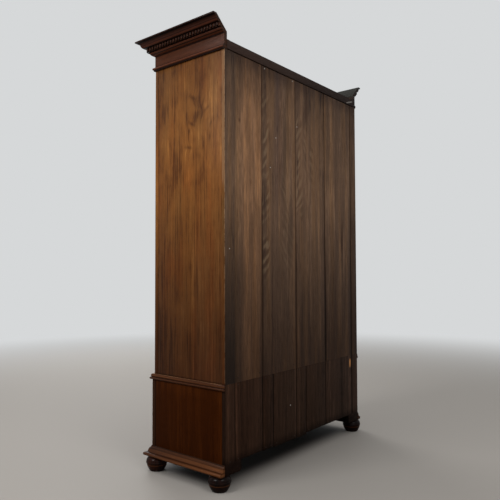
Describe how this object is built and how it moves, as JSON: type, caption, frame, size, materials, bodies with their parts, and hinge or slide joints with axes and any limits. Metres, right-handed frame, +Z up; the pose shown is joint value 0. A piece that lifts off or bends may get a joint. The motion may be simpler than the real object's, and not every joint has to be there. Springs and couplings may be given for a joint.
{
  "type": "wardrobe",
  "caption": "Tall panelled wardrobe: hinged doors over drawers, hanging rail and hat shelf inside, dentilled lift-off cornice, turned bun feet.",
  "frame": {"origin": "on the floor, in the middle of the outline seen from above", "axes": "+Z up, the front with its doors faces -Y, the back faces +Y, +X is to the right of someone who faces the doors"},
  "size_m": [1.408, 0.5715, 2.2],
  "materials": {
    "side_mahogany": "satin polish",
    "front_mahogany": "satin polish",
    "base_mahogany": "satin polish",
    "moulding_mahogany": "satin polish",
    "cornice_mahogany": "satin polish",
    "turned_wood": "dark polish",
    "aged_back_wood": "unpolished, aged",
    "inner_wood": "unpolished",
    "brass": "aged brass",
    "iron": "dull iron"
  },
  "bodies": {
    "carcass": {"back_nails": "iron", "base_back_boards": "aged_back_wood", "base_back_stiles": "aged_back_wood", "base_floor_board": "inner_wood", "base_front_frame": "base_mahogany", "base_side_left": "base_mahogany", "base_side_right": "base_mahogany", "base_top_board": "inner_wood", "bed_mouldings": "cornice_mahogany", "bun_feet": "turned_wood", "cornice_beads": "cornice_mahogany", "cornice_corner_blocks": "inner_wood", "cornice_rear_rail": "aged_back_wood", "crown_front": "cornice_mahogany", "crown_left": "cornice_mahogany", "crown_right": "cornice_mahogany", "dentils": "cornice_mahogany", "door_stops": "inner_wood", "drawer_divider": "inner_wood", "drawer_guides": "inner_wood", "frieze_front": "cornice_mahogany", "frieze_left": "cornice_mahogany", "frieze_right": "cornice_mahogany", "hanging_rail": "inner_wood", "hat_shelf": "inner_wood", "hinge_pins": "brass", "hinge_post_leaves": "brass", "plinth_frame": "aged_back_wood", "plinth_mouldings": "moulding_mahogany", "rail_sockets": "brass", "shelf_bearers": "inner_wood", "upper_back_boards": "aged_back_wood", "upper_back_stiles": "aged_back_wood", "upper_floor_board": "inner_wood", "upper_front_frame": "front_mahogany", "upper_side_left": "side_mahogany", "upper_side_right": "side_mahogany", "upper_top_board": "inner_wood", "waist_mouldings": "moulding_mahogany"},
    "door_right": {"door_right_frame": "front_mahogany", "door_right_panels": "front_mahogany", "door_right_hinge_leaves": "brass", "lock_case": "brass", "escutcheon": "brass", "door_knob": "turned_wood"},
    "door_left": {"door_left_frame": "front_mahogany", "door_left_panels": "front_mahogany", "door_left_hinge_leaves": "brass", "slide_bolt_keeps": "brass"},
    "lock_bolt": {"lock_bolt": "brass"},
    "key": {"key": "iron"},
    "upper_slide_bolt": {"upper_slide_bolt": "brass"},
    "lower_slide_bolt": {"lower_slide_bolt": "brass"},
    "drawer_right": {"drawer_right_front": "front_mahogany", "drawer_right_box": "inner_wood", "drawer_right_knobs": "turned_wood"},
    "drawer_left": {"drawer_left_front": "front_mahogany", "drawer_left_box": "inner_wood", "drawer_left_knobs": "turned_wood"}
  },
  "joints": [
    {"name": "door_right_hinge", "type": "hinge", "parent": "carcass", "child": "door_right", "pos_m": [0.566, -0.2131, 1.257], "axis": [0, 0, 1], "range_deg": [0, 115]},
    {"name": "door_left_hinge", "type": "hinge", "parent": "carcass", "child": "door_left", "pos_m": [-0.566, -0.2131, 1.257], "axis": [0, 0, -1], "range_deg": [0, 115]},
    {"name": "key_turn", "type": "hinge", "parent": "door_right", "child": "key", "pos_m": [0.026, -0.19655, 1.21], "axis": [0, -1, 0], "range_deg": [0, 270.5]},
    {"name": "lock_bolt_slide", "type": "slide", "parent": "door_right", "child": "lock_bolt", "axis": [-1, 0, 0], "range_m": [0, 0.009]},
    {"name": "upper_bolt_slide", "type": "slide", "parent": "door_left", "child": "upper_slide_bolt", "axis": [0, 0, 1], "range_m": [0, 0.022]},
    {"name": "lower_bolt_slide", "type": "slide", "parent": "door_left", "child": "lower_slide_bolt", "axis": [0, 0, -1], "range_m": [0, 0.022]},
    {"name": "drawer_right_slide", "type": "slide", "parent": "carcass", "child": "drawer_right", "axis": [0, -1, 0], "range_m": [0, 0.34]},
    {"name": "drawer_left_slide", "type": "slide", "parent": "carcass", "child": "drawer_left", "axis": [0, -1, 0], "range_m": [0, 0.34]}
  ],
  "couplings": [
    {"joint": "key_turn", "follows": "lock_bolt_slide", "rad_per_m": 523.6}
  ]
}
